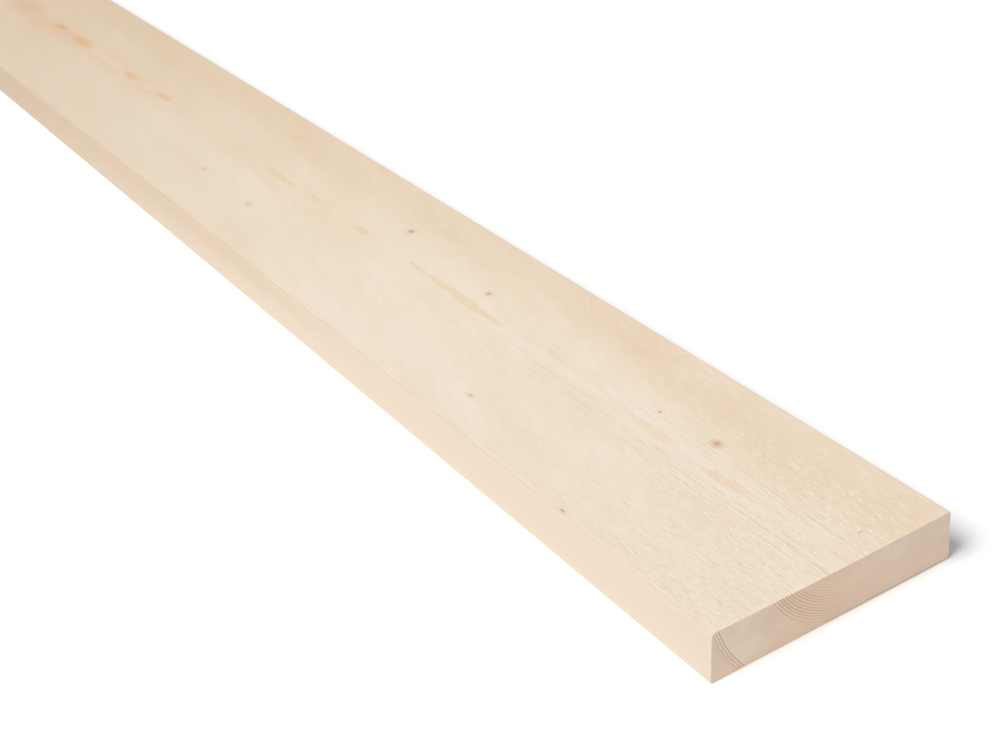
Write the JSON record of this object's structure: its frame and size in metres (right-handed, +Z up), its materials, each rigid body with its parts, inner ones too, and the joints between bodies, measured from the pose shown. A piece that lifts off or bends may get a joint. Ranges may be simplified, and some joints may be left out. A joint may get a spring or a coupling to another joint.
{
  "type": "timber plank",
  "caption": "Straight planed softwood plank of rectangular section with square-sawn ends and eased long arrises, for joinery, cladding, shelving and framing.",
  "frame": {"origin": "middle of the lower wide face, on the surface that the plank lies on", "axes": "+X along the length, +Y across the width, +Z up through the thickness"},
  "size_m": [1.8, 0.145, 0.028],
  "materials": {
    "planed_softwood": "matte"
  },
  "bodies": {
    "root": {"plank": "planed_softwood"}
  },
  "joints": []
}
